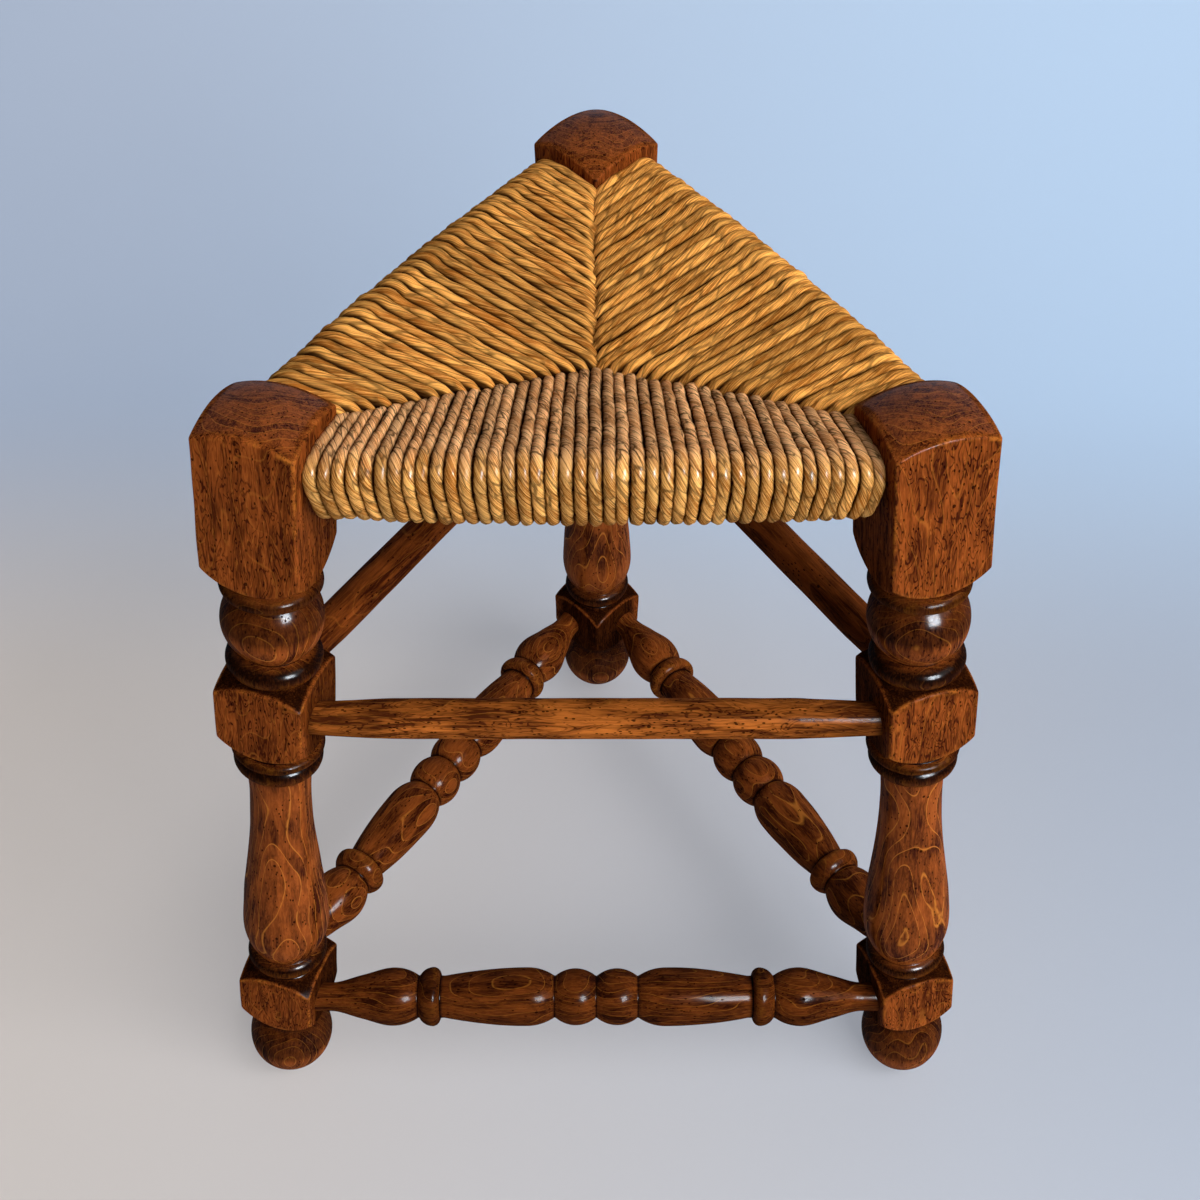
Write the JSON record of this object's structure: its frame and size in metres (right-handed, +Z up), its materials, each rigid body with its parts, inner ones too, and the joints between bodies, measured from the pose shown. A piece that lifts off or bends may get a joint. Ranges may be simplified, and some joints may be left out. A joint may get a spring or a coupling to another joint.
{
  "type": "fireside stool",
  "caption": "Triangular stool with turned, outward-leaning legs, plain upper rungs, turned lower stretchers and a wrapped rush seat.",
  "frame": {"origin": "on the floor under the middle of the stool's box", "axes": "+Z up, the front rail faces -Y, +X to the right seen from the front"},
  "size_m": [0.3902, 0.3463, 0.4422],
  "materials": {
    "wood": "waxed, worn at the edges",
    "rush": "twisted rush, slightly glossy",
    "stuffing": "loose dry rush"
  },
  "bodies": {
    "root": {"leg_front_left": "wood", "leg_front_right": "wood", "leg_back": "wood", "seat_rail_front": "wood", "seat_rail_right": "wood", "seat_rail_left": "wood", "rung_front": "wood", "rung_right": "wood", "rung_left": "wood", "stretcher_front": "wood", "stretcher_right": "wood", "stretcher_left": "wood", "rush_front": "rush", "rush_right": "rush", "rush_left": "rush", "stuffing_front": "stuffing", "stuffing_right": "stuffing", "stuffing_left": "stuffing"}
  },
  "joints": []
}
